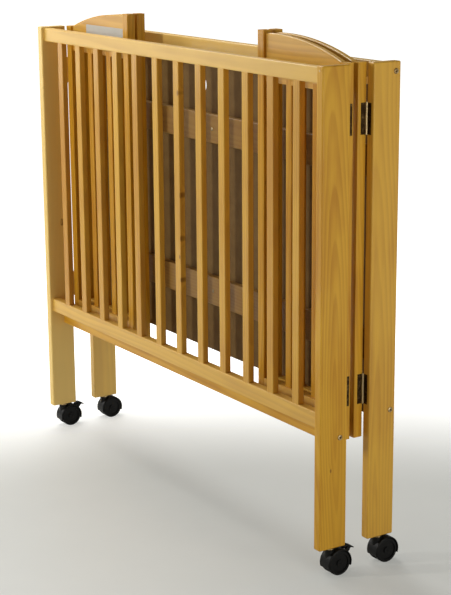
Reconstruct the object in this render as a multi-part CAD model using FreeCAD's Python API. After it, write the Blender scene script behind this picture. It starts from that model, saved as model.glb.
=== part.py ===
import FreeCAD, Part
import math
import os

# A folding wooden baby crib on casters, folded flat.
# Millimetres. +X runs along the crib, +Y from the front side to the rear side, +Z up, and the floor
# is at Z = 0. Everything is built about the frame's middle plane and moved to its origin at the end.

# ---- Overall sizes
LENGTH = 1029.0            # outer face to outer face of the legs
LEG_WIDTH = 57.0
LEG_THICK = 18.0
LEG_BOTTOM = 51.5          # height of the casters
LEG_TOP = 895.5
FOLDED_GAP = 48.0          # between front and rear legs when folded flat
EDGE_ROUND = 2.5

# ---- Front and rear side frames
RAIL_THICK = 18.0
RAIL_SETBACK = 6.5         # rails stand this far behind the legs' outer edges
TOP_RAIL = (865.0, 892.5)
BOTTOM_RAIL = (271.0, 300.0)
SLAT_COUNT = 12
SLAT_WIDTH = 20.0
SLAT_THICK = 12.0
SLAT_SETBACK = 1.0         # slats stand this far behind the rails' faces
TENON = 9.0                # depth of each slat end in its rail
LEDGE_SETBACK = 33.0
LEDGE = (240.5, 268.5)

# ---- Folding half panels of the ends
HALF_LENGTH = 262.0
STILE_WIDTH = 20.0
STILE_THICK = 18.0
STILE_BOTTOM = 240.0
INNER_STILE_TOP = 934.0
HALF_RAIL_TOP = 293.5
CREST_BOTTOM = 843.5
CREST_TOP = 929.5
CREST_RADIUS = 570.0
CREST_APEX = 215.0         # distance of the crest's highest point from the leg hinge
INFILL_THICK = 12.0        # crest boards and slats of the half panels
INFILL_SETBACK = 5.0       # behind the stiles' inner faces
HALF_SLAT_COUNT = 2
HALF_SLAT_WIDTH = 18.0

# ---- Butt hinges
HINGE_HEIGHTS = (328.0, 801.0)
HINGE_TALL = 54.0
FRONT_LEAF_WIDTH = 16.0
REAR_LEAF_WIDTH = 12.0
LEAF_THICK = 1.0
BARREL_RADIUS = 2.2
PIN_RADIUS = 1.1
PIN_CLEARANCE = 0.05
BARREL_CLEARANCE = 0.4
KNUCKLE_GAP = 0.3
PIN_HEAD = 1.0             # the pin's head stands this far above the top knuckle
PIN_HEAD_ROOM = 1.5
PIN_OFFSET = 0.4           # leg hinge pin to the leg's and the half panel's nearest faces
FRONT_PIN_OFFSET = 2.0     # the front ones stand further behind the leg, for play when folding
MID_PIN_PROUD = 2.6        # middle hinge pin to the half panels' outer faces
MID_END_GAP = 1.0          # middle hinge pin to the inner stiles' edges
SCREW_SHANK = 1.2
SCREW_HEAD = 2.6
SCREW_LONG = 12.0
SCREW_SPREAD = 17.0

# ---- Bolts, dowels and pins of the frames
BOLT_RADIUS = 3.0
BOLT_HEAD_RADIUS = 5.0
BOLT_HEAD_PROUD = 1.6
BOLT_LONG = 52.0
SOCKET_RADIUS = 2.0
NUT_RADIUS = 5.0
NUT_LONG = 14.0
NUT_FROM_LEG = 26.0
REAR_BOLT_EDGE = 10.5      # rear rail bolts to the legs' outer edges
DOWEL_RADIUS = 4.0
DOWEL_LONG = 36.0
DOWEL_IN_LEG = 12.0
LOCK_PIN_RADIUS = 1.6
LOCK_PIN_LONG = 22.0
LOCK_PIN_DROP = 8.0
LOCK_PIN_PROUD = 0.8

# ---- Mattress support board
BOARD_LENGTH = 970.0
BOARD_THICK = 4.0
BOARD_FRONT = 46.0
BOARD_HEIGHTS = (273.5, 853.5)
BATTEN_THICK = 15.0
BATTEN_LENGTH = 950.0
BATTEN_HEIGHTS = ((373.5, 430.5), (697.5, 753.5))
FINGER_HOLE_RADIUS = 16.5
FINGER_HOLE_AT = (-58.0, 805.5)
BOARD_HINGE_AT = 330.0
BOARD_HINGE_LONG = 60.0

# ---- Casters
WHEEL_RADIUS = 22.5
WHEEL_THICK = 9.0
CASTER_TRAIL = 14.0
HOOD_RADIUS = 25.5
HOOD_WALL = 2.0
HOOD_HALF_WIDTH = 14.2
WEB_HALF = 3.5
AXLE_RADIUS = 2.5
STEM_RADIUS = 3.0
STEM_BOTTOM = 42.0
STEM_IN_LEG = 34.0
FLANGE_RADIUS = 8.5
BOSS_TOP = 48.8
BOSS_RADIUS = 9.0
LEVER_RADIUS = 29.2        # brake lever pivot to the wheel centre
LEVER_ANGLE = 45.0
LEVER_HALF = 5.0
LUG_RADIUS = 3.8
LUG_THICK = 3.0
TRUNNION_RADIUS = 1.5

X_AXIS = FreeCAD.Vector(1, 0, 0)
Y_AXIS = FreeCAD.Vector(0, 1, 0)
Z_AXIS = FreeCAD.Vector(0, 0, 1)

HALF_LONG = LENGTH / 2
HALF_DEEP = LEG_WIDTH + FOLDED_GAP / 2
LEG_FACE = FOLDED_GAP / 2              # legs' narrow inner faces, from the middle plane
INNER_FACE = HALF_LONG - LEG_THICK     # legs' broad inner faces, from the middle of the length

# The left legs' hinge pins, the plane that the two half panels of an end fold about, and the tilt
# that brings their middle pins together in it.
PIN_X = -(INNER_FACE - PIN_OFFSET)
FRONT_PIN_Y = -(LEG_FACE - FRONT_PIN_OFFSET)
REAR_PIN_Y = LEG_FACE - PIN_OFFSET
FOLD_Y = (FRONT_PIN_Y + REAR_PIN_Y) / 2
MID_P = PIN_OFFSET + HALF_LENGTH + MID_END_GAP
MID_Q = PIN_OFFSET + STILE_THICK + MID_PIN_PROUD
MID_REACH = math.hypot(MID_P, MID_Q)
TILT = math.asin((FOLD_Y - FRONT_PIN_Y) / MID_REACH) - math.atan2(MID_Q, MID_P)

# From the frame's middle plane to the middle of everything: the rear casters stick out behind.
REAR_OVERHANG = CASTER_TRAIL + HOOD_RADIUS - LEG_WIDTH / 2
TO_ORIGIN = FreeCAD.Vector(0, (LOCK_PIN_PROUD - REAR_OVERHANG) / 2, 0)


def vec(x, y, z):
    return FreeCAD.Vector(x, y, z)


def block(low, high):
    size = [b - a for a, b in zip(low, high)]
    return Part.makeBox(size[0], size[1], size[2], vec(*low))


def bar(low, high, axis, radius=EDGE_ROUND):
    """A straight piece of timber whose long edges, along the given axis, are rounded."""
    shape = block(low, high)
    long_edges = [e for e in shape.Edges if abs(e.tangentAt(e.FirstParameter).dot(axis)) > 0.99]
    return shape.makeFillet(radius, long_edges)


def rod(radius, start, direction, length):
    return Part.makeCylinder(radius, length, start, direction)


def flip_x(shape):
    return shape.mirror(vec(0, 0, 0), X_AXIS)


def flip_y(shape):
    return shape.mirror(vec(0, 0, 0), Y_AXIS)


def moved(shape, offset):
    copy = shape.copy()
    copy.translate(offset)
    return copy


def prism(points, axis_vector):
    """A straight extrusion of the closed polygon through the given points."""
    wire = Part.makePolygon(points + [points[0]])
    return Part.Face(wire).extrude(axis_vector)


# ---- Hinge hardware. Local frame: the pin on the Z axis, the leaf along +X, its wood towards -Y.
def screw_spots(wide, height):
    x = (BARREL_RADIUS + wide) / 2
    return [(x, height - SCREW_SPREAD), (x, height + SCREW_SPREAD)]


def knuckle_spans(height, kind):
    low = height - HINGE_TALL / 2
    third = HINGE_TALL / 3
    if kind == "middle":
        return [(low + third + KNUCKLE_GAP / 2, low + 2 * third - KNUCKLE_GAP / 2)]
    return [(low, low + third - KNUCKLE_GAP / 2),
            (low + 2 * third + KNUCKLE_GAP / 2, low + HINGE_TALL)]


def hinge_leaf(near, wide, kind, height):
    """One leaf: its plate starts at the given distance from the pin, with its own knuckles."""
    far = near + LEAF_THICK
    plate_start = BARREL_RADIUS + BARREL_CLEARANCE
    low = height - HINGE_TALL / 2
    leaf = block((plate_start, -far, low), (wide, -near, low + HINGE_TALL))
    for bottom, top in knuckle_spans(height, kind):
        tab = block((0, -far, bottom), (plate_start + 1, -min(near, PIN_RADIUS), top))
        leaf = leaf.fuse(tab).fuse(rod(BARREL_RADIUS, vec(0, 0, bottom), Z_AXIS, top - bottom))
    bore = rod(PIN_RADIUS + PIN_CLEARANCE, vec(0, 0, low - 1), Z_AXIS, HINGE_TALL + 2)
    leaf = leaf.cut(bore).removeSplitter()
    for x, z in screw_spots(wide, height):
        leaf = leaf.cut(Part.makeCone(SCREW_HEAD + 0.05, SCREW_SHANK + 0.05, LEAF_THICK,
                                      vec(x, -near, z), -Y_AXIS))
    return leaf


def hinge_screws(near, wide, height):
    screws = []
    for x, z in screw_spots(wide, height):
        head = Part.makeCone(SCREW_HEAD, SCREW_SHANK, LEAF_THICK, vec(x, -near, z), -Y_AXIS)
        shank = rod(SCREW_SHANK, vec(x, -near - LEAF_THICK, z), -Y_AXIS, SCREW_LONG)
        slot = block((x - SCREW_HEAD, -near - 0.5, z - 0.35), (x + SCREW_HEAD, -near, z + 0.35))
        screws.append(head.fuse(shank).removeSplitter().cut(slot))
    return screws


def hinge_recess(near, wide, height):
    """What one leaf, its screws and the turning barrel take out of the wood behind them."""
    low = height - HINGE_TALL / 2
    pocket = block((-1, -near - LEAF_THICK, low), (wide, 1, low + HINGE_TALL))
    cove = rod(BARREL_RADIUS + BARREL_CLEARANCE, vec(0, 0, low - PIN_HEAD_ROOM), Z_AXIS,
               HINGE_TALL + 2 * PIN_HEAD_ROOM)
    recess = pocket.fuse(cove)
    for x, z in screw_spots(wide, height):
        recess = recess.fuse(rod(SCREW_SHANK, vec(x, -near, z), -Y_AXIS, LEAF_THICK + SCREW_LONG))
    return recess


def hinge_pin(height):
    low = height - HINGE_TALL / 2
    shank = rod(PIN_RADIUS, vec(0, 0, low), Z_AXIS, HINGE_TALL)
    head = rod(BARREL_RADIUS - 0.3, vec(0, 0, low + HINGE_TALL), Z_AXIS, PIN_HEAD)
    return shank.fuse(head).removeSplitter()


def on_leg(shape, pin_y=FRONT_PIN_Y):
    """From the hinge frame to a left leg's narrow face: the rear one is built facing the same way."""
    return moved(flip_x(shape), vec(PIN_X, pin_y, 0))


def on_stile_edge(shape):
    """From the hinge frame to the outer stile's edge, in a half panel's own frame."""
    copy = shape.copy()
    copy.rotate(vec(0, 0, 0), Z_AXIS, 90)
    return copy


def on_outer_face(shape):
    """From the hinge frame to the inner stile's outer face, in a half panel's own frame."""
    return moved(flip_x(shape), vec(MID_P, MID_Q, 0))


# ---- Side frames, built as the front one; the rear one is its mirror image.
def side_slats():
    gap = (2 * INNER_FACE - SLAT_COUNT * SLAT_WIDTH) / (SLAT_COUNT + 1)
    front = -HALF_DEEP + RAIL_SETBACK + SLAT_SETBACK
    low_z = BOTTOM_RAIL[1] - TENON
    high_z = TOP_RAIL[0] + TENON
    slats = []
    for i in range(SLAT_COUNT):
        x = -INNER_FACE + gap + i * (SLAT_WIDTH + gap)
        slats.append(bar((x, front, low_z), (x + SLAT_WIDTH, front + SLAT_THICK, high_z), Z_AXIS, 1.5))
    return slats


def side_rail(heights, setback, slats):
    front = -HALF_DEEP + setback
    rail = bar((-INNER_FACE, front, heights[0]), (INNER_FACE, front + RAIL_THICK, heights[1]), X_AXIS)
    return rail.cut(slats) if slats else rail


def left_leg(pin_offset, leaf_wide):
    """Facing like the front one, with its hinge pins the given distance behind its narrow face."""
    leg = block((-HALF_LONG, -HALF_DEEP, LEG_BOTTOM), (-INNER_FACE, -LEG_FACE, LEG_TOP))
    leg = leg.makeFillet(EDGE_ROUND, leg.Edges)
    stem_hole = rod(STEM_RADIUS, leg_foot(-1, -1), Z_AXIS, STEM_IN_LEG)
    leg = leg.cut(stem_hole)
    for height in HINGE_HEIGHTS:
        leg = leg.cut(on_leg(hinge_recess(pin_offset, leaf_wide, height), pin_offset - LEG_FACE))
    return leg


def leg_foot(x_sign, y_sign):
    """The middle of a leg's underside."""
    return vec(x_sign * (HALF_LONG - LEG_THICK / 2), y_sign * (HALF_DEEP - LEG_WIDTH / 2), LEG_BOTTOM)


def leg_hinge_hardware(pin_offset, leaf_wide):
    """Leaves with their screws, and pins, on a left leg."""
    plates = []
    pins = []
    pin_y = pin_offset - LEG_FACE
    for height in HINGE_HEIGHTS:
        plates.append(on_leg(hinge_leaf(pin_offset, leaf_wide, "outer", height), pin_y))
        plates.extend(on_leg(s, pin_y) for s in hinge_screws(pin_offset, leaf_wide, height))
        pins.append(on_leg(hinge_pin(height), pin_y))
    return plates, pins


def cross_bolt(y, z):
    """A socket-head bolt through a left leg into a rail's end, and its barrel nut in the rail."""
    head_face = vec(-HALF_LONG - BOLT_HEAD_PROUD, y, z)
    head = rod(BOLT_HEAD_RADIUS, head_face, X_AXIS, BOLT_HEAD_PROUD + 2)
    head = head.makeFillet(1.4, [e for e in head.Edges if e.BoundBox.XMax < head_face.x + 0.01])
    shank = rod(BOLT_RADIUS, head_face, X_AXIS, BOLT_LONG)
    socket = rod(SOCKET_RADIUS, head_face, X_AXIS, 2.2)
    bolt = head.fuse(shank).removeSplitter().cut(socket)
    nut_middle = vec(-INNER_FACE + NUT_FROM_LEG, y, z)
    nut = rod(NUT_RADIUS, nut_middle - Y_AXIS * (NUT_LONG / 2), Y_AXIS, NUT_LONG)
    return bolt, nut.cut(rod(BOLT_RADIUS, head_face, X_AXIS, BOLT_LONG + 10))


def bolt_holes(y, z):
    """What a cross bolt and its nut take out of the leg and the rail."""
    head_face = vec(-HALF_LONG - BOLT_HEAD_PROUD, y, z)
    hole = rod(BOLT_RADIUS, head_face, X_AXIS, BOLT_LONG + 2)
    seat = rod(BOLT_HEAD_RADIUS, head_face, X_AXIS, BOLT_HEAD_PROUD + 2)
    nut_middle = vec(-INNER_FACE + NUT_FROM_LEG, y, z)
    pocket = rod(NUT_RADIUS, nut_middle - Y_AXIS * (NUT_LONG / 2), Y_AXIS, NUT_LONG)
    return hole.fuse(seat).fuse(pocket)


def rail_dowel(z):
    y = -HALF_DEEP + RAIL_SETBACK + RAIL_THICK / 2
    return rod(DOWEL_RADIUS, vec(-INNER_FACE - DOWEL_IN_LEG, y, z), X_AXIS, DOWEL_LONG)


def lock_pin():
    """A round-headed pin driven into the front edge of the front left leg, near its top."""
    x = -(HALF_LONG - LEG_THICK / 2)
    z = LEG_TOP - LOCK_PIN_DROP
    shank = rod(LOCK_PIN_RADIUS / 2, vec(x, -HALF_DEEP, z), Y_AXIS, LOCK_PIN_LONG)
    ball = Part.makeSphere(LOCK_PIN_RADIUS, vec(x, -HALF_DEEP, z))
    dome = ball.common(block((x - 5, -HALF_DEEP - LOCK_PIN_PROUD, z - 5), (x + 5, -HALF_DEEP, z + 5)))
    return shank.fuse(dome).removeSplitter()


# ---- Half panels of the ends. Own frame: the leg hinge pin on the Z axis, the panel along +X,
# its inner face towards -Y, and its outer face, which meets the other half, towards +Y.
def crest_height(p):
    return CREST_TOP - (p - CREST_APEX) ** 2 / (2 * CREST_RADIUS)


def half_panel_parts(leaf_wide):
    start = PIN_OFFSET
    end = PIN_OFFSET + HALF_LENGTH
    inner = PIN_OFFSET
    outer = PIN_OFFSET + STILE_THICK
    left = start + STILE_WIDTH
    right = end - STILE_WIDTH
    infill = inner + INFILL_SETBACK
    outer_stile = bar((start, inner, STILE_BOTTOM), (left, outer, LEG_TOP), Z_AXIS, 1.5)
    inner_stile = bar((right, inner, STILE_BOTTOM), (end, outer, INNER_STILE_TOP), Z_AXIS, 1.5)
    gap = (right - left - HALF_SLAT_COUNT * HALF_SLAT_WIDTH) / (HALF_SLAT_COUNT + 1)
    slats = []
    for i in range(HALF_SLAT_COUNT):
        x = left + gap + i * (HALF_SLAT_WIDTH + gap)
        slats.append(bar((x, infill, HALF_RAIL_TOP - TENON),
                         (x + HALF_SLAT_WIDTH, infill + INFILL_THICK - 2, CREST_BOTTOM + TENON),
                         Z_AXIS, 1.5))
    rail = bar((left, inner, STILE_BOTTOM), (right, outer, HALF_RAIL_TOP), X_AXIS, 1.5).cut(slats)
    middle = (left + right) / 2
    arch = Part.Arc(vec(left, infill, crest_height(left)), vec(middle, infill, crest_height(middle)),
                    vec(right, infill, crest_height(right))).toShape()
    corners = [vec(right, infill, crest_height(right)), vec(right, infill, CREST_BOTTOM),
               vec(left, infill, CREST_BOTTOM), vec(left, infill, crest_height(left))]
    outline = Part.Wire([arch] + [Part.makeLine(a, b) for a, b in zip(corners, corners[1:])])
    crest = Part.Face(outline).extrude(Y_AXIS * INFILL_THICK)
    top_edges = [e for e in crest.Edges if isinstance(e.Curve, Part.Circle)]
    crest = crest.makeFillet(EDGE_ROUND, top_edges).cut(slats)
    plates = []
    for height in HINGE_HEIGHTS:
        outer_stile = outer_stile.cut(on_stile_edge(hinge_recess(PIN_OFFSET, leaf_wide, height)))
        plates.append(on_stile_edge(hinge_leaf(PIN_OFFSET, leaf_wide, "middle", height)))
        plates.extend(on_stile_edge(s) for s in hinge_screws(PIN_OFFSET, leaf_wide, height))
    return outer_stile, inner_stile, rail, crest, slats, plates


def middle_hinge_hardware(kind):
    """Leaves of the middle hinges on a half panel's outer face, with their screws and pins."""
    near = MID_PIN_PROUD - LEAF_THICK
    plates = []
    pins = []
    for height in HINGE_HEIGHTS:
        plates.append(on_outer_face(hinge_leaf(near, REAR_LEAF_WIDTH, kind, height)))
        plates.extend(on_outer_face(s) for s in hinge_screws(near, REAR_LEAF_WIDTH, height))
        pins.append(on_outer_face(hinge_pin(height)))
    return plates, pins


def middle_screw_holes():
    near = MID_PIN_PROUD - LEAF_THICK
    holes = []
    for height in HINGE_HEIGHTS:
        for x, z in screw_spots(REAR_LEAF_WIDTH, height):
            hole = rod(SCREW_SHANK, vec(x, -near, z), -Y_AXIS, LEAF_THICK + SCREW_LONG)
            holes.append(on_outer_face(hole))
    return holes


def place_half(shape, corner):
    """From a half panel's own frame to its corner of the folded crib."""
    side, row = corner.split("_")
    copy = shape.copy()
    copy.rotate(vec(0, 0, 0), Z_AXIS, math.degrees(TILT))
    copy.translate(vec(PIN_X, FRONT_PIN_Y - FOLD_Y, 0))
    if side == "right":
        copy = flip_x(copy)
    if row == "rear":
        copy = flip_y(copy)
    return moved(copy, vec(0, FOLD_Y, 0))


# ---- Mattress support, standing folded up against the rear side.
def mattress_board():
    low, high = BOARD_HEIGHTS
    board = block((-BOARD_LENGTH / 2, BOARD_FRONT, low), (BOARD_LENGTH / 2, BOARD_FRONT + BOARD_THICK, high))
    corners = [e for e in board.Edges if e.BoundBox.XLength < 0.01 and e.BoundBox.ZLength < 0.01]
    board = board.makeFillet(15, corners)
    x, z = FINGER_HOLE_AT
    return board.cut(rod(FINGER_HOLE_RADIUS, vec(x, BOARD_FRONT - 1, z), Y_AXIS, BOARD_THICK + 2))


def board_battens():
    back = BOARD_FRONT
    front = back - BATTEN_THICK
    return [bar((-BATTEN_LENGTH / 2, front, low), (BATTEN_LENGTH / 2, back, high), X_AXIS, 2.0)
            for low, high in BATTEN_HEIGHTS]


def board_hinge(x):
    """A closed strip hinge: one flap on the board's back, one on the rear bottom rail."""
    back = BOARD_FRONT + BOARD_THICK
    rail_face = HALF_DEEP - RAIL_SETBACK - RAIL_THICK
    z = BOARD_HEIGHTS[0] + 3
    low_x = x - BOARD_HINGE_LONG / 2
    high_x = x + BOARD_HINGE_LONG / 2
    board_flap = block((low_x, back, z), (high_x, back + 1.2, z + 22))
    rail_flap = block((low_x, rail_face - 1.2, z), (high_x, rail_face, z + 20))
    middle = (back + rail_face) / 2
    barrel = rod(middle - back, vec(low_x, middle, z), X_AXIS, BOARD_HINGE_LONG)
    return board_flap.fuse(barrel).fuse(rail_flap).removeSplitter()


# ---- Casters. Own frame: the swivel axis on the Z axis, the floor at Z = 0, trailing towards +Y.
def caster_stem():
    pin = rod(STEM_RADIUS, vec(0, 0, STEM_BOTTOM), Z_AXIS, LEG_BOTTOM + STEM_IN_LEG - STEM_BOTTOM)
    flange = rod(FLANGE_RADIUS, vec(0, 0, BOSS_TOP + 0.6), Z_AXIS, LEG_BOTTOM - BOSS_TOP - 0.6)
    return pin.fuse(flange).removeSplitter()


def caster_hood(with_lugs):
    """The moulded body: a middle web, a hood over both wheels and a boss for the stem."""
    centre = vec(0, CASTER_TRAIL, WHEEL_RADIUS)
    disc = rod(HOOD_RADIUS, centre - X_AXIS * HOOD_HALF_WIDTH, X_AXIS, 2 * HOOD_HALF_WIDTH)
    rims = [e for e in disc.Edges if isinstance(e.Curve, Part.Circle)]
    disc = disc.makeFillet(1.8, rims)
    boss = rod(BOSS_RADIUS, vec(0, 0, WHEEL_RADIUS), Z_AXIS, BOSS_TOP - WHEEL_RADIUS)
    body = disc.fuse(boss)
    if with_lugs:
        foot_spot = lever_pivot() * 0.88 + centre * 0.12
        for low_x in (LEVER_HALF + 0.6, -LEVER_HALF - 0.6 - LUG_THICK):
            lug = rod(LUG_RADIUS, lever_pivot() + X_AXIS * low_x, X_AXIS, LUG_THICK)
            foot = rod(LUG_RADIUS, foot_spot + X_AXIS * low_x, X_AXIS, LUG_THICK)
            body = body.fuse(lug).fuse(foot)
    below = [vec(-25, -40, -5), vec(-25, -40, 15), vec(-25, -5, 15), vec(-25, 12, 8),
             vec(-25, 30, 13), vec(-25, 60, 20), vec(-25, 60, -5)]
    body = body.cut(prism(below, X_AXIS * 50))
    for low_x in (WEB_HALF, -HOOD_HALF_WIDTH - 1):
        well = rod(HOOD_RADIUS - HOOD_WALL, centre + X_AXIS * low_x, X_AXIS, HOOD_HALF_WIDTH + 1 - WEB_HALF)
        body = body.cut(well)
    body = body.cut(rod(STEM_RADIUS + PIN_CLEARANCE, vec(0, 0, STEM_BOTTOM - 0.6), Z_AXIS, 20))
    body = body.cut(rod(AXLE_RADIUS + PIN_CLEARANCE, centre - X_AXIS * 25, X_AXIS, 50))
    if with_lugs:
        body = body.cut(rod(TRUNNION_RADIUS + PIN_CLEARANCE, lever_pivot() - X_AXIS * 25, X_AXIS, 50))
    return body.removeSplitter()


def caster_wheels():
    """Two wheels and the axle that they turn with."""
    centre = vec(0, CASTER_TRAIL, WHEEL_RADIUS)
    pieces = []
    for side in (-1, 1):
        inner_x = side * (WEB_HALF + 0.5)
        wheel = rod(WHEEL_RADIUS, centre + X_AXIS * inner_x, X_AXIS * side, WHEEL_THICK)
        rims = [e for e in wheel.Edges if isinstance(e.Curve, Part.Circle)]
        wheel = wheel.makeFillet(1.5, rims)
        dish_x = inner_x + side * (WHEEL_THICK - 2)
        dish = rod(WHEEL_RADIUS - 5, centre + X_AXIS * dish_x, X_AXIS * side, 5)
        hub = rod(6, centre + X_AXIS * (inner_x + side), X_AXIS * side, WHEEL_THICK - 1)
        wheel = wheel.cut(dish).fuse(hub).removeSplitter()
        pieces.append(wheel.cut(rod(AXLE_RADIUS, centre - X_AXIS * 25, X_AXIS, 50)))
    reach = WEB_HALF + WHEEL_THICK
    pieces.append(rod(AXLE_RADIUS, centre - X_AXIS * reach, X_AXIS, 2 * reach))
    return pieces


def lever_pivot():
    rise = LEVER_RADIUS * math.sin(math.radians(LEVER_ANGLE))
    run = LEVER_RADIUS * math.cos(math.radians(LEVER_ANGLE))
    return vec(0, CASTER_TRAIL + run, WHEEL_RADIUS + rise)


def brake_lever():
    """A hooked foot tab that turns in two lugs on the hood."""
    pivot = lever_pivot()
    hub = rod(3.0, pivot - X_AXIS * LEVER_HALF, X_AXIS, 2 * LEVER_HALF)
    profile = ((-5.6, 1.6), (-5.0, 4.4), (-1.5, 6.2), (4.0, 6.3), (9.5, 3.8), (15.2, -0.4), (14.6, -1.6),
               (8.6, 0.2), (5.4, -2.4), (3.6, -5.2), (0.0, -2.8))
    points = [vec(-LEVER_HALF, pivot.y + y, pivot.z + z) for y, z in profile]
    arm = prism(points, X_AXIS * (2 * LEVER_HALF))
    reach = LEVER_HALF + 0.6 + LUG_THICK
    pin = rod(TRUNNION_RADIUS, pivot - X_AXIS * reach, X_AXIS, 2 * reach)
    return hub.fuse(arm).fuse(pin).removeSplitter()


# ---- Assembly
nodes = {}


def keep(name, *pieces):
    """Store one node: a single solid, or a group of separate solids."""
    nodes[name] = pieces[0] if len(pieces) == 1 else Part.makeCompound(list(pieces))


def both_ends(pieces):
    return list(pieces) + [flip_x(p) for p in pieces]


slats = side_slats()
top_rail = side_rail(TOP_RAIL, RAIL_SETBACK, slats)
bottom_rail = side_rail(BOTTOM_RAIL, RAIL_SETBACK, slats)
ledge = side_rail(LEDGE, LEDGE_SETBACK, [])
front_leg = left_leg(FRONT_PIN_OFFSET, FRONT_LEAF_WIDTH)
rear_leg = left_leg(PIN_OFFSET, REAR_LEAF_WIDTH)
front_plates, front_pins = leg_hinge_hardware(FRONT_PIN_OFFSET, FRONT_LEAF_WIDTH)
rear_plates, rear_pins = leg_hinge_hardware(PIN_OFFSET, REAR_LEAF_WIDTH)

# Front side: the rails are dowelled to the legs, and the ledge is bolted on.
top_z = sum(TOP_RAIL) / 2
bottom_z = sum(BOTTOM_RAIL) / 2
dowels = [rail_dowel(z) for z in (top_z, bottom_z)]
ledge_y = -HALF_DEEP + LEDGE_SETBACK + RAIL_THICK / 2
ledge_z = sum(LEDGE) / 2
ledge_hole = bolt_holes(ledge_y, ledge_z)
front_leg = front_leg.cut(dowels).cut(ledge_hole).cut(lock_pin())
keep("front_left_leg", front_leg)
keep("front_right_leg", flip_x(front_leg))
keep("front_top_rail", top_rail.cut(both_ends(dowels)))
keep("front_bottom_rail", bottom_rail.cut(both_ends(dowels)))
keep("front_slats", *slats)
keep("mattress_ledge", ledge.cut(both_ends([ledge_hole])))
keep("front_rail_dowels", *both_ends(dowels))
keep("front_ledge_bolts", *both_ends(cross_bolt(ledge_y, ledge_z)))
keep("front_lock_pins", *both_ends([lock_pin()]))
keep("front_hinge_plates", *both_ends(front_plates))
keep("front_hinge_pins", *both_ends(front_pins))

# Rear side: the rails are bolted to the legs.
bolt_y = -HALF_DEEP + REAR_BOLT_EDGE
rear_holes = [bolt_holes(bolt_y, z) for z in (top_z, bottom_z)]
rear_bolts = [piece for z in (top_z, bottom_z) for piece in cross_bolt(bolt_y, z)]
for hole in rear_holes:
    rear_leg = rear_leg.cut(hole)
keep("rear_left_leg", flip_y(rear_leg))
keep("rear_right_leg", flip_y(flip_x(rear_leg)))
keep("rear_top_rail", flip_y(top_rail.cut(both_ends(rear_holes))))
keep("rear_bottom_rail", flip_y(bottom_rail.cut(both_ends(rear_holes))))
keep("rear_slats", *[flip_y(s) for s in slats])
keep("rear_frame_bolts", *[flip_y(b) for b in both_ends(rear_bolts)])
keep("rear_hinge_plates", *[flip_y(p) for p in both_ends(rear_plates)])
keep("rear_hinge_pins", *[flip_y(p) for p in both_ends(rear_pins)])
keep("mattress_board", mattress_board())
keep("board_battens", *board_battens())
keep("board_hinges", board_hinge(-BOARD_HINGE_AT), board_hinge(BOARD_HINGE_AT))

# Ends: four half panels. Only the width of the leg hinges' leaves differs between front and rear.
for corner in ("left_front", "right_front", "left_rear", "right_rear"):
    row = corner.split("_")[1]
    leaf_wide = FRONT_LEAF_WIDTH if row == "front" else REAR_LEAF_WIDTH
    outer_stile, inner_stile, rail, crest, half_slats, edge_plates = half_panel_parts(leaf_wide)
    face_plates, middle_pins = middle_hinge_hardware("outer" if row == "rear" else "middle")
    pieces = {"outer_stile": [outer_stile], "inner_stile": [inner_stile.cut(middle_screw_holes())],
              "bottom_rail": [rail], "crest_rail": [crest], "slats": half_slats,
              "hinge_plates": edge_plates + face_plates}
    if row == "rear":
        pieces["middle_pins"] = middle_pins
    for part_name, shapes in pieces.items():
        keep(corner + "_half_" + part_name, *[place_half(s, corner) for s in shapes])

# Casters: all four trail the same way, and the front two have brakes.
for row, y_sign in (("front", -1), ("rear", 1)):
    stems = []
    for side, x_sign in (("left", -1), ("right", 1)):
        foot = leg_foot(x_sign, y_sign)
        spot = vec(foot.x, foot.y, 0)
        name = row + "_" + side + "_caster_"
        stems.append(moved(caster_stem(), spot))
        keep(name + "hood", moved(caster_hood(row == "front"), spot))
        keep(name + "wheels", *[moved(p, spot) for p in caster_wheels()])
        if row == "front":
            keep(name + "brake", moved(brake_lever(), spot))
    keep(row + "_caster_stems", *stems)

os.makedirs("parts", exist_ok=True)
for name, shape in nodes.items():
    final = moved(shape, TO_ORIGIN)
    if not final.isValid():
        print("not valid:", name)
    final.exportStep("parts/" + name + ".step")
pin_x = PIN_X + MID_REACH * math.cos(math.atan2(MID_Q, MID_P) + TILT)
print(len(nodes), "nodes; the half panels open by", round(90 - math.degrees(TILT), 4), "degrees")
print("middle pins at x", round(pin_x, 4), "and y", round(FOLD_Y + TO_ORIGIN.y, 4))
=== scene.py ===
import math

import bpy
from mathutils import Matrix, Vector


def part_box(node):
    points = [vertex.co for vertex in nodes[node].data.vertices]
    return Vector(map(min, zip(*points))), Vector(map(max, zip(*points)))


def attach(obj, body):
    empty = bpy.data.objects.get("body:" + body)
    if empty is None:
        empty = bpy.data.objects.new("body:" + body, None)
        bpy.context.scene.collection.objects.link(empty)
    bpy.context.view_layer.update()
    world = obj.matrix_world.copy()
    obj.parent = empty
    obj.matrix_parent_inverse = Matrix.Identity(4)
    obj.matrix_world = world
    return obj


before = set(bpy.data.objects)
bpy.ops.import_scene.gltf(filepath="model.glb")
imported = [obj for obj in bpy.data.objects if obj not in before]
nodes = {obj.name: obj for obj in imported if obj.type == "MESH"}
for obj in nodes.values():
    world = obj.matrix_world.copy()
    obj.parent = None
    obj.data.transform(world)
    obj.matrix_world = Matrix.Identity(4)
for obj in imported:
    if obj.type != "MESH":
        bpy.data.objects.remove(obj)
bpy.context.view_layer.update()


# ---- Camera and picture
# A long lens at chest height in front of the right-hand end, with the horizon very slightly tipped.
# The scene is shown as it is lit, with no film curve.
LEG_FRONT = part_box("front_right_leg")[0].y
LENS = 98.93
CAMERA_FROM_LEG_FRONT = Vector((2.6633, -1.5789, 1.1714))
CAMERA_TURN = 57.149
CAMERA_TILT = 13.934
CAMERA_ROLL = -0.404

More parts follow.
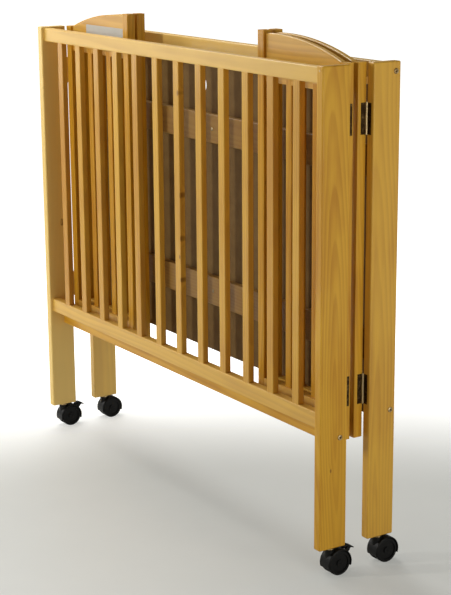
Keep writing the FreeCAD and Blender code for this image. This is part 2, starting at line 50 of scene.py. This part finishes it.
camera_data = bpy.data.cameras.new("camera")
camera = bpy.data.objects.new("camera", camera_data)
bpy.context.scene.collection.objects.link(camera)
bpy.context.scene.camera = camera
camera_data.lens = LENS
camera_data.sensor_width = 36
camera_data.clip_end = 60
turn = math.radians(CAMERA_TURN)
tilt = math.radians(CAMERA_TILT)
back = Vector((math.sin(turn) * math.cos(tilt), -math.cos(turn) * math.cos(tilt), math.sin(tilt)))
level_right = Vector((math.cos(turn), math.sin(turn), 0))
level_up = back.cross(level_right)
roll = math.radians(CAMERA_ROLL)
right = level_right * math.cos(roll) + level_up * math.sin(roll)
up = level_up * math.cos(roll) - level_right * math.sin(roll)
camera.matrix_world = Matrix((right, up, back)).transposed().to_4x4()
camera.location = CAMERA_FROM_LEG_FRONT + Vector((0, LEG_FRONT, 0))
bpy.context.scene.view_settings.view_transform = "Standard"


# ---- Floor and studio light
# A studio floor with painted shade, grey in a pool round the crib and white further out, where it runs
# into a white surround; it also glows, brightly to the camera and weakly on the crib. A broad softbox
# hangs overhead, a narrow one and a curtain panel stand at the left, and a large fill and a low, weak one
# at the right.
class Shade:
    """A shader socket that takes part in Python arithmetic: each expression adds its Math nodes."""

    tree = None

    def __init__(self, socket):
        self.socket = socket

    @classmethod
    def node(cls, kind, settings=None, **values):
        """Adds any node: settings are set first, and values or links go to its named sockets."""
        made = cls.tree.nodes.new(kind)
        for key, value in (settings or {}).items():
            setattr(made, key, value)
        for key, value in values.items():
            name = key.replace("_", " ")
            cls.feed(next(s for s in made.inputs if s.name == name and s.enabled), value)
        return made

    @classmethod
    def feed(cls, socket, value):
        """Links a Shade to the socket, or sets a number or a colour on it."""
        if isinstance(value, Shade):
            cls.tree.links.new(value.socket, socket)
        elif isinstance(value, tuple) and len(value) == 3 and socket.type == "RGBA":
            socket.default_value = (*value, 1)
        else:
            socket.default_value = value

    @classmethod
    def out(cls, made, name=0):
        return cls(made.outputs[name])

    def maths(self, operation, other=None, swap=False):
        made = Shade.tree.nodes.new("ShaderNodeMath")
        made.operation = operation
        first, second = (other, self) if swap else (self, other)
        Shade.feed(made.inputs[0], first)
        if second is not None:
            Shade.feed(made.inputs[1], second)
        return Shade(made.outputs[0])

    def __add__(self, other):
        return self.maths("ADD", other)

    __radd__ = __add__

    def __sub__(self, other):
        return self.maths("SUBTRACT", other)

    def __rsub__(self, other):
        return self.maths("SUBTRACT", other, swap=True)

    def __mul__(self, other):
        return self.maths("MULTIPLY", other)

    __rmul__ = __mul__

    def __truediv__(self, other):
        return self.maths("DIVIDE", other)

    def __rtruediv__(self, other):
        return self.maths("DIVIDE", other, swap=True)

    def __pow__(self, other):
        return self.maths("POWER", other)

    def least(self, other):
        return self.maths("MINIMUM", other)

    def most(self, other):
        return self.maths("MAXIMUM", other)

    def fade(self, start, end):
        """0 at start, 1 at end, eased in between."""
        made = Shade.node("ShaderNodeMapRange", {"interpolation_type": "SMOOTHSTEP"},
                          Value=self, From_Min=start, From_Max=end)
        return Shade.out(made)


def blend_colours(share, first, second):
    """first where share is 0, second where it is 1."""
    made = Shade.node("ShaderNodeMix", {"data_type": "RGBA"}, Factor=share, A=first, B=second)
    return next(Shade(s) for s in made.outputs if s.enabled)


def join(x, y, z):
    return Shade.out(Shade.node("ShaderNodeCombineXYZ", X=x, Y=y, Z=z))


def place():
    """The object's own coordinates, as three numbers in metres."""
    spot = Shade.out(Shade.node("ShaderNodeTexCoord"), "Object")
    split = Shade.node("ShaderNodeSeparateXYZ", Vector=spot)
    return Shade.out(split, 0), Shade.out(split, 1), Shade.out(split, 2)


def noise(spot, scale, detail=2.0, roughness=0.5):
    made = Shade.node("ShaderNodeTexNoise", Vector=spot, Scale=scale, Detail=detail, Roughness=roughness)
    return Shade.out(made, 0)


def start_material(name):
    material = bpy.data.materials.new(name)
    material.use_nodes = True
    Shade.tree = material.node_tree
    return material, Shade.tree.nodes["Principled BSDF"]


SHADED_FLOOR_GREY = (0.40, 0.405, 0.385)
FLOOR_FAR = (0.9, 0.9, 0.89)
FLOOR_WEAR = 0.06
FLOOR_GLOW = (0.27, 0.272, 0.255)
FLOOR_WHITE = (1.02, 1.02, 1.0)
GLOW_CAST = 0.30
FLOOR_WIDE = 40
SHADE_POOL_CENTRE = (0.85, -0.55)
SHADE_POOL_STARTS, SHADE_POOL_ENDS = 1.05, 2.1
material, surface = start_material("studio_floor")
x, y, z = place()
u, v = x - SHADE_POOL_CENTRE[0], y - SHADE_POOL_CENTRE[1]
# Painted shade: the floor's colour and glow are grey in a pool round the crib and white further out.
beyond_shade_pool = ((u * u + v * v) ** 0.5).fade(SHADE_POOL_STARTS, SHADE_POOL_ENDS)
worn = noise(join(x, y, 0.0), 5.0, 4.0, 0.6)
darker = tuple((1 - FLOOR_WEAR) * c for c in SHADED_FLOOR_GREY)
lighter = tuple((1 + FLOOR_WEAR) * c for c in SHADED_FLOOR_GREY)
shaded_grey = blend_colours(worn, darker, lighter)
Shade.feed(surface.inputs["Base Color"], blend_colours(beyond_shade_pool, shaded_grey, FLOOR_FAR))
# The floor glows though it is no lamp: brightly where the camera sees it, weakly as light on the crib.
glow = blend_colours(beyond_shade_pool, FLOOR_GLOW, FLOOR_WHITE)
cast_near = tuple(GLOW_CAST * c for c in FLOOR_GLOW)
cast_far = tuple(GLOW_CAST * c for c in FLOOR_WHITE)
cast = blend_colours(beyond_shade_pool, cast_near, cast_far)
seen = Shade.out(Shade.node("ShaderNodeLightPath"), "Is Camera Ray")
Shade.feed(surface.inputs["Emission Color"], blend_colours(seen, cast, glow))
surface.inputs["Emission Strength"].default_value = 1.0
surface.inputs["Roughness"].default_value = 0.5
bpy.ops.object.select_all(action="DESELECT")
bpy.ops.mesh.primitive_plane_add(size=FLOOR_WIDE)
floor = bpy.context.object
floor.name = "studio_floor"
floor.data.materials.append(material)

SURROUND_TINT = (1.0, 0.995, 0.98)
SURROUND_CAST = 0.14
SURROUND_SEEN = 0.90
world = bpy.data.worlds.new("studio")
bpy.context.scene.world = world
world.use_nodes = True
Shade.tree = world.node_tree
seen = Shade.out(Shade.node("ShaderNodeLightPath"), "Is Camera Ray")
surround = world.node_tree.nodes["Background"]
Shade.feed(surround.inputs["Color"], SURROUND_TINT)
Shade.feed(surround.inputs["Strength"], seen * SURROUND_SEEN + SURROUND_CAST)


def softbox(name, spot, aim, size, power, tint=(1, 1, 1)):
    """A rectangular softbox at spot, turned to aim: size in metres, power in watts."""
    lamp_data = bpy.data.lights.new(name, "AREA")
    lamp_data.shape = "RECTANGLE"
    lamp_data.size, lamp_data.size_y = size
    lamp_data.energy = power
    lamp_data.color = tint
    lamp = bpy.data.objects.new(name, lamp_data)
    bpy.context.scene.collection.objects.link(lamp)
    lamp.location = spot
    lamp.rotation_mode = "QUATERNION"
    lamp.rotation_quaternion = (Vector(aim) - Vector(spot)).to_track_quat("-Z", "Y")


softbox("overhead", (-1.35, 0.15, 2.4), (-0.3, 0, 0.5), (1.3, 1.3), 40)
softbox("left_window", (-0.55, -2.28, 1.25), (0, 0, 0.5), (0.12, 0.6), 19, (1.0, 0.985, 0.95))
softbox("right_fill", (2.8, 0.35, 0.75), (0.3, 0, 0.4), (1.4, 1.3), 21, (1.0, 0.97, 0.92))
softbox("low_fill", (0.7, -1.1, 0.25), (-0.5, 0, 0.25), (0.7, 0.4), 1.0, (1.0, 0.98, 0.94))
softbox("left_curtain", (-2.0, -1.1, 1.2), (-0.5, 0, 0.6), (1.2, 1.4), 17, (1.0, 0.99, 0.97))


# ---- Legs
# Four straight legs with eased edges, in clear-finished pine like every wooden member: pale
# earlywood with honey-coloured rings, long fibres and a few tight knots, under a satin lacquer.
# The figure on the right-hand ones arches, as the tree's centre leans through them.
PINE_PALE = (0.72, 0.39, 0.028)
PINE_HONEY = (0.52, 0.215, 0.007)
PINE_RING = (0.40, 0.14, 0.006)
KNOT_DARK = (0.14, 0.045, 0.008)
# A pale sapwood colour, also used as painted light: the washed-out look of strong light.
SAPWOOD_AND_PAINTED_LIGHT = (0.92, 0.66, 0.22)
BARE_PINE = (0.17, 0.10, 0.042)
RING_PITCH = 0.0062
PLAIN_LEAN = (0.0, 0.012)
KNOT_STRETCH = 0.55
LACQUER_GLOSS = 0.22
LACQUER_WEIGHT = 0.22
LACQUER_ROUGHNESS = 0.16


def pine(name, grain, heart, seed, spacing=None, knots=(), tone=1.0, pale=0.0, lean=PLAIN_LEAN):
    """Pine with its grain along one axis. heart is the tree's centre across and behind the board,
    and lean is where along the board it is at that place, and how fast it wanders off. spacing
    separates the boards of one group, and knots are (along, across, radius). tone under 1 takes
    the board towards bare wood, and pale towards a pale sapwood colour, which on the brightly lit
    pieces also paints the washed-out look of strong light."""
    material, surface = start_material(name)
    x, y, z = place()
    along, across, depth = {"X": (x, z, y), "Z": (z, x, y), "ZY": (z, y, x)}[grain]
    board = 0.0
    if spacing:
        row, pitch = spacing
        number = ({"x": x, "z": z}[row] / pitch).maths("FLOOR")
        chance = Shade.node("ShaderNodeTexWhiteNoise", {"noise_dimensions": "1D"}, W=number + seed)
        board = Shade.out(chance)

    # Each board has its own place in the noise, and the tree's centre wanders past it.
    shift = board * 7.0 + seed * 3.1
    slow = noise(join(along * 1.1 + shift, across * 3 + shift, depth * 3), 1.0, 1.0)
    wander = noise(join(along * 2.6, across * 9, depth * 9 + shift), 1.0, 2.0)
    a = across - heart[0] + (slow - 0.5) * 0.10 + board * 0.06
    b = depth - heart[1] + (along - lean[0]) * lean[1] + (wander - 0.5) * 0.012
    reach = (a * a + b * b) ** 0.5

    # Knots are dark, and the rings part around them.
    mask = 0.0
    for spot_along, spot_across, radius in knots:
        u = (along - spot_along) * KNOT_STRETCH
        v = across - spot_across
        apart = (u * u + v * v) ** 0.5
        near = 1 - apart.fade(0.0, radius * 5)
        reach = reach + near * near * radius * 1.6
        mask = mask + (1 - apart.fade(radius * 0.55, radius * 1.15))

    # One ring is a slow rise to dark latewood and a sharp fall, crossed by fibres and streaks.
    ring = (reach / RING_PITCH).maths("FRACT")
    late = ring.fade(0.1, 0.8) * (1 - ring.fade(0.84, 1.0))
    fibre = noise(join(along * 9, across * 420, depth * 420), 1.0, 3.0, 0.6)
    streak = noise(join(along * 1.6 + shift, across * 55, depth * 55 + shift), 1.0, 2.0)
    cloud = noise(join(along * 7 + shift, across * 22, depth * 22 + shift), 1.0, 2.0)
    honey = streak.fade(0.30, 0.72) * 0.45 + cloud.fade(0.35, 0.75) * 0.45 + (board - 0.5) * 0.7 + 0.06
    colour = blend_colours(honey.most(0.0).least(1.0), PINE_PALE, PINE_HONEY)
    colour = blend_colours(late * (0.06 + cloud * 0.46), colour, PINE_RING)
    colour = blend_colours((fibre - 0.5).most(0.0) * 0.45, colour, PINE_RING)
    # Painted light, partly: pale takes the whole board towards the sapwood colour, most on the pieces in
    # strong light.
    if pale:
        colour = blend_colours(pale, colour, SAPWOOD_AND_PAINTED_LIGHT)
    if knots:
        colour = blend_colours((mask * (0.35 + ring * 0.4)).least(1.0), colour, KNOT_DARK)
    if tone < 1:
        colour = blend_colours(1 - tone, colour, BARE_PINE)
    Shade.feed(surface.inputs["Base Color"], colour)
    Shade.feed(surface.inputs["Roughness"], 0.40 + fibre * 0.12 + late * 0.05)
    surface.inputs["Specular IOR Level"].default_value = LACQUER_GLOSS
    surface.inputs["Coat Weight"].default_value = LACQUER_WEIGHT
    surface.inputs["Coat Roughness"].default_value = LACQUER_ROUGHNESS
    bump = Shade.node("ShaderNodeBump", Strength=0.12, Distance=0.0006, Height=fibre * 0.7 + late * 0.3)
    Shade.feed(surface.inputs["Normal"], Shade.out(bump))
    return material


def finish_node(name, material):
    """Gives a CAD node its material."""
    slots = nodes[name].material_slots
    for slot in slots:
        slot.material = material
    if not slots:
        nodes[name].data.materials.append(material)


LEG_KNOTS = {"front_left_leg": [(0.469, 0.62, 0.005)], "rear_left_leg": [(0.66, 0.3, 0.003)],
             "front_right_leg": [(0.197, 0.40, 0.0022)]}
# Paler legs: partly paler wood, partly painted light, palest on the left legs where strong light falls.
LEG_PALE = {"front_left_leg": 0.85, "rear_left_leg": 0.55, "rear_right_leg": 0.12}
LEG_LEAN = {"front_right_leg": (0.30, 0.06), "rear_right_leg": (0.10, 0.04)}
for seed, name in enumerate(("front_left_leg", "front_right_leg", "rear_left_leg", "rear_right_leg")):
    low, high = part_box(name)
    middle = (low.y + high.y) / 2
    wide = high.y - low.y
    heart = (middle + 0.012 * (seed % 2), low.x - 0.035)
    lean = PLAIN_LEAN
    if name in LEG_LEAN:
        heart = (middle - 0.006, high.x)
        lean = LEG_LEAN[name]
    knots = [(along, low.y + share * wide, radius) for along, share, radius in LEG_KNOTS.get(name, [])]
    pale = LEG_PALE.get(name, 0.0)
    finish_node(name, pine("pine_" + name, "ZY", heart, seed + 1, knots=knots, pale=pale, lean=lean))

# ---- Rails of the two sides and the mattress ledge
# Long pine rails with rounded edges, fixed between the legs, and a narrow rail that the mattress
# board comes to rest on when the crib is open.
# Paler rails: partly paler wood, partly painted light on the rails that stand in strong light.
RAIL_PALE = {"front_top_rail": 0.42, "front_bottom_rail": 0.30, "rear_top_rail": 0.55}
RAILS = ("front_top_rail", "front_bottom_rail", "mattress_ledge", "rear_top_rail", "rear_bottom_rail")
for seed, name in enumerate(RAILS):
    low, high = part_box(name)
    heart = ((low.z + high.z) / 2 + 0.02, high.y + 0.02)
    pale = RAIL_PALE.get(name, 0.0)
    finish_node(name, pine("pine_" + name, "X", heart, seed + 11, pale=pale))

# ---- Slats of the two sides
# Thin pine slats with softened edges, let into both rails. Each is cut from a different board,
# so its tone and figure are its own.
SLATS = 12
SLAT_WIDE = 0.020
# A little paler: partly paler wood, partly painted light.
SLAT_PALE = 0.12
SLAT_PITCH = (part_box("front_slats")[1].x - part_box("front_slats")[0].x - SLAT_WIDE) / (SLATS - 1)
SLAT_KNOTS = {"front_slats": [(0.807, 0.046, 0.0035), (0.613, 0.051, 0.004), (0.529, 0.051, 0.004),
                              (0.493, 0.046, 0.0025), (0.448, 0.050, 0.003)]}
for seed, name in enumerate(("front_slats", "rear_slats")):
    low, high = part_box(name)
    heart = ((low.x + high.x) / 2, high.y + 0.03)
    knots = SLAT_KNOTS.get(name, ())
    timber = pine("pine_" + name, "Z", heart, seed + 21, ("x", SLAT_PITCH), knots, pale=SLAT_PALE)
    finish_node(name, timber)

# ---- Half panels of the ends
# Each end folds in the middle: two stiles, an arched crest board, a bottom rail and two slats
# make one half, glued up in pine.
# Paler crest and bottom rails: partly paler wood, partly painted light.
HALF_RAIL_PALE = 0.2
HALF_SLAT_PITCH = 0.075
for seed, corner in enumerate(("left_front", "right_front", "left_rear", "right_rear")):
    for part in ("outer_stile", "inner_stile"):
        name = corner + "_half_" + part
        low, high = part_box(name)
        heart = (low.x - 0.02, high.y + 0.03)
        finish_node(name, pine("pine_" + name, "Z", heart, seed + 31))
    for part in ("crest_rail", "bottom_rail"):
        name = corner + "_half_" + part
        low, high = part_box(name)
        heart = (high.z + 0.01, high.y + 0.04)
        finish_node(name, pine("pine_" + name, "X", heart, seed + 41, pale=HALF_RAIL_PALE))
    name = corner + "_half_slats"
    low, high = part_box(name)
    heart = (low.x, high.y + 0.03)
    finish_node(name, pine("pine_" + name, "Z", heart, seed + 51, ("x", HALF_SLAT_PITCH)))

# ---- Battens of the mattress board and hidden dowels
# Two broad pine battens stiffen the board, and plain dowels hold the front rails in the legs.
# Both are duller and darker than the rest.
BARE_TONE = 0.30
for seed, name in enumerate(("board_battens", "front_rail_dowels")):
    low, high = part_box(name)
    heart = (high.z + 0.02, high.y + 0.05)
    finish_node(name, pine("pine_" + name, "X", heart, seed + 61, tone=BARE_TONE))

# ---- Mattress board
# A sheet of tempered hardboard, hinged to the rear side: dark brown pressed fibre, smooth on its
# face, with faint mottling.
HARDBOARD_DARK = (0.150, 0.080, 0.021)
HARDBOARD_LIGHT = (0.195, 0.113, 0.034)
HARDBOARD_FIBRE = (0.25, 0.165, 0.065)
material, surface = start_material("tempered_hardboard")
x, y, z = place()
spot = join(x, y, z)
mottle = noise(spot, 26, 4, 0.65)
fibre = noise(spot, 900, 2, 0.5)
colour = blend_colours(mottle.fade(0.3, 0.7), HARDBOARD_DARK, HARDBOARD_LIGHT)
colour = blend_colours(fibre * 0.3, colour, HARDBOARD_FIBRE)
Shade.feed(surface.inputs["Base Color"], colour)
Shade.feed(surface.inputs["Roughness"], 0.62 + mottle * 0.15)
surface.inputs["Specular IOR Level"].default_value = 0.2
bump = Shade.node("ShaderNodeBump", Strength=0.15, Distance=0.0004, Height=fibre)
Shade.feed(surface.inputs["Normal"], Shade.out(bump))
finish_node("mattress_board", material)


# ---- Batten screws
# Plated steel screws hold each batten to the board, driven nearly flush: the shallow head has a
# crown and a tapered socket. One is modelled and the rest are its copies.
SCREW_RADIUS = 0.0034
SCREW_DEPTH = 0.0012
SCREW_PROUD = 0.0004
SCREW_EDGE = 0.0006
SCREW_CROWN = 0.0003
SOCKET_RIM = 0.0015
SOCKET_DEPTH = 0.0006
SOCKET_TAPER = 0.6
SCREWS_PER_BATTEN = 5
SCREW_FROM_END = 0.04
BATTEN_TALL = 0.057
SCREW_DARK, SCREW_BRIGHT = (0.22, 0.17, 0.09), (0.50, 0.41, 0.24)
material, surface = start_material("screw_plate")
x, y, z = place()
cloud = noise(join(x, y, z), 500, 3, 0.6)
Shade.feed(surface.inputs["Base Color"], blend_colours(cloud, SCREW_DARK, SCREW_BRIGHT))
Shade.feed(surface.inputs["Roughness"], 0.3 + cloud * 0.2)
surface.inputs["Metallic"].default_value = 1.0

batten_low, batten_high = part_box("board_battens")
head_y = batten_low.y + SCREW_DEPTH / 2 - SCREW_PROUD
bpy.ops.object.select_all(action="DESELECT")
bpy.ops.mesh.primitive_cylinder_add(vertices=24, radius=SCREW_RADIUS, depth=SCREW_DEPTH,
                                    location=(0, head_y, 0), rotation=(math.pi / 2, 0, 0))
pattern = bpy.context.object
bpy.ops.object.transform_apply(location=True, rotation=True, scale=True)
bpy.ops.object.mode_set(mode="EDIT")
bpy.ops.mesh.select_mode(type="FACE")
bpy.ops.mesh.select_all(action="DESELECT")
bpy.ops.object.mode_set(mode="OBJECT")
for face in pattern.data.polygons:
    face.select = face.normal.y < -0.9
bpy.ops.object.mode_set(mode="EDIT")
bpy.ops.mesh.inset(thickness=SCREW_EDGE)
bpy.ops.transform.translate(value=(0, -SCREW_CROWN, 0))
bpy.ops.mesh.inset(thickness=SOCKET_RIM)
bpy.ops.mesh.extrude_region_move(TRANSFORM_OT_translate={"value": (0, SOCKET_DEPTH, 0)})
bpy.ops.transform.resize(value=(SOCKET_TAPER, 1, SOCKET_TAPER))
bpy.ops.object.mode_set(mode="OBJECT")
bpy.ops.object.shade_smooth_by_angle(angle=math.radians(35))
pattern.data.materials.append(material)
screw_step = (batten_high.x - batten_low.x - 2 * SCREW_FROM_END) / (SCREWS_PER_BATTEN - 1)
for row, height in (("lower", batten_low.z + BATTEN_TALL / 2), ("upper", batten_high.z - BATTEN_TALL / 2)):
    for number in range(SCREWS_PER_BATTEN):
        screw = bpy.data.objects.new(f"batten_screw_{row}_{number + 1}", pattern.data.copy())
        screw_x = batten_low.x + SCREW_FROM_END + number * screw_step
        screw.data.transform(Matrix.Translation((screw_x, 0, height)))
        bpy.context.scene.collection.objects.link(screw)
        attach(screw, "rear_side")
bpy.data.objects.remove(pattern)

# ---- Blank label
# A plain pale label of plastic film is stuck on the inner face of the left front crest board,
# beside its inner stile. It is left blank.
LABEL_WIDE, LABEL_TALL, LABEL_THICK = 0.158, 0.032, 0.0002
LABEL_CORNER = 0.003
LABEL_TOP = 0.903
LABEL_FROM_STILE = 0.004
LABEL_SHADE, LABEL_PALE = (0.50, 0.50, 0.45), (0.60, 0.60, 0.56)
crest = nodes["left_front_half_crest_rail"].data
crest_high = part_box("left_front_half_crest_rail")[1]
faces = [face for face in crest.polygons if face.normal.y < -0.95]
face = max(faces, key=lambda face: face.area)
lean = math.atan2(-face.normal.x, -face.normal.y)
middle_x = crest_high.x - LABEL_FROM_STILE - LABEL_WIDE / 2
face_y = face.center.y - (middle_x - face.center.x) * face.normal.x / face.normal.y
middle = (middle_x, face_y - LABEL_THICK / 2, LABEL_TOP - LABEL_TALL / 2)
bpy.ops.object.select_all(action="DESELECT")
bpy.ops.mesh.primitive_cube_add(size=1, location=middle, rotation=(0, 0, -lean))
label = bpy.context.object
label.name = "crest_label"
label.scale = (LABEL_WIDE, LABEL_THICK, LABEL_TALL)
bpy.ops.object.transform_apply(location=True, rotation=True, scale=True)
bpy.ops.object.mode_set(mode="EDIT")
bpy.ops.mesh.select_mode(type="EDGE")
bpy.ops.mesh.select_all(action="DESELECT")
bpy.ops.object.mode_set(mode="OBJECT")
for edge in label.data.edges:
    first, second = (label.data.vertices[corner].co for corner in edge.vertices)
    edge.select = (first - second).length < LABEL_THICK * 1.5
bpy.ops.object.mode_set(mode="EDIT")
bpy.ops.mesh.bevel(offset=LABEL_CORNER, segments=5, affect="EDGES")
bpy.ops.object.mode_set(mode="OBJECT")
material, surface = start_material("label_film")
x, y, z = place()
cloud = noise(join(x, y, z), 45, 3, 0.6)
Shade.feed(surface.inputs["Base Color"], blend_colours(cloud, LABEL_SHADE, LABEL_PALE))
Shade.feed(surface.inputs["Roughness"], 0.4 + cloud * 0.15)
label.data.materials.append(material)
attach(label, "left_front_half")


# ---- Butt hinges
# Steel butt hinges plated in antique brass: dark leaves, a painted highlight of light brass along
# the knuckles, and pins of lighter brass all over.
PATINA_DARK, PATINA_LIGHT = (0.035, 0.020, 0.008), (0.16, 0.10, 0.04)
LIGHT_BRASS = (0.86, 0.66, 0.34)
HIGHLIGHT_FROM_PIN, PATINA_FROM_PIN = 0.0021, 0.0028
KNUCKLE_HIGHLIGHT = 0.9
PIN_RUBBED = 0.75
PIN_HEAD_RADIUS = 0.0019


def antique_brass(name, pins=()):
    """Dark plating with a painted highlight of light brass on the knuckles round each pin, or lighter
    brass all over if no pin is given.
    """
    material, surface = start_material(name)
    x, y, z = place()
    share = PIN_RUBBED
    if pins:
        # Painted highlight: light brass in a band round each pin, along the knuckles.
        knuckle_highlight = 0.0
        for pin_x, pin_y in pins:
            u = x - pin_x
            v = y - pin_y
            knuckle_highlight = knuckle_highlight + (1 - ((u * u + v * v) ** 0.5).fade(HIGHLIGHT_FROM_PIN, PATINA_FROM_PIN))
        share = knuckle_highlight * KNUCKLE_HIGHLIGHT
    cloud = noise(join(x, y, z), 160, 3, 0.6)
    patina = blend_colours(cloud.fade(0.40, 0.75), PATINA_DARK, PATINA_LIGHT)
    Shade.feed(surface.inputs["Base Color"], blend_colours(share, patina, LIGHT_BRASS))
    Shade.feed(surface.inputs["Roughness"], 0.42 - share * 0.2 + cloud * 0.08)
    surface.inputs["Metallic"].default_value = 1.0
    return material


leg_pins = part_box("front_hinge_pins")
rear_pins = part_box("rear_hinge_pins")
half_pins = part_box("left_rear_half_middle_pins")
middle_x = (half_pins[0].x + half_pins[1].x) / 2
middle_y = (half_pins[0].y + half_pins[1].y) / 2
leg_x = leg_pins[1].x - PIN_HEAD_RADIUS
front_y = leg_pins[0].y + PIN_HEAD_RADIUS
rear_y = rear_pins[0].y + PIN_HEAD_RADIUS
for row, pin_y in (("front", front_y), ("rear", rear_y)):
    ends = [(-leg_x, pin_y), (leg_x, pin_y)]
    finish_node(row + "_hinge_plates", antique_brass("antique_brass_" + row, ends))
    for side, sign in (("left", 1), ("right", -1)):
        pair = [(-leg_x * sign, pin_y), (middle_x * sign, middle_y)]
        name = side + "_" + row + "_half_hinge_plates"
        finish_node(name, antique_brass("antique_brass_" + side + "_" + row, pair))
bright_brass = antique_brass("bright_brass")
for name in ("front_hinge_pins", "rear_hinge_pins", "left_rear_half_middle_pins",
             "right_rear_half_middle_pins", "board_hinges", "front_lock_pins"):
    finish_node(name, bright_brass)

# ---- Frame bolts and caster stems
# Socket-headed bolts drawn into barrel nuts in the rails, and the turned stems that the casters
# swivel on: all of them steel in aged brass plate.
BOLT_DARK, BOLT_BRIGHT = (0.30, 0.19, 0.08), (0.72, 0.55, 0.28)
material, surface = start_material("aged_brass")
x, y, z = place()
cloud = noise(join(x, y, z), 220, 3, 0.6)
Shade.feed(surface.inputs["Base Color"], blend_colours(cloud.fade(0.3, 0.7), BOLT_DARK, BOLT_BRIGHT))
Shade.feed(surface.inputs["Roughness"], 0.22 + cloud * 0.14)
surface.inputs["Metallic"].default_value = 1.0
for name in ("front_ledge_bolts", "rear_frame_bolts", "front_caster_stems", "rear_caster_stems"):
    finish_node(name, material)

# ---- Casters
# Twin-wheel furniture casters in black nylon: a moulded hood over both wheels, harder and slightly
# glossier than the wheels, and a foot lever on the front pair.
NYLONS = {"hood_nylon": ((0.0028, 0.0028, 0.0024), (0.006, 0.006, 0.005), 0.36),
          "wheel_nylon": ((0.0024, 0.0024, 0.0022), (0.005, 0.005, 0.0045), 0.46)}
for name, (dark, light, rough) in NYLONS.items():
    material, surface = start_material(name)
    x, y, z = place()
    spot = join(x, y, z)
    cloud = noise(spot, 60, 3, 0.6)
    grain = noise(spot, 1800, 2, 0.5)
    Shade.feed(surface.inputs["Base Color"], blend_colours(cloud, dark, light))
    Shade.feed(surface.inputs["Roughness"], rough + cloud * 0.12)
    surface.inputs["Specular IOR Level"].default_value = 0.22
    bump = Shade.node("ShaderNodeBump", Strength=0.2, Distance=0.0002, Height=grain)
    Shade.feed(surface.inputs["Normal"], Shade.out(bump))
    for row in ("front", "rear"):
        for side in ("left", "right"):
            caster = row + "_" + side + "_caster_"
            if name == "wheel_nylon":
                finish_node(caster + "wheels", material)
            else:
                finish_node(caster + "hood", material)
                if row == "front":
                    finish_node(caster + "brake", material)
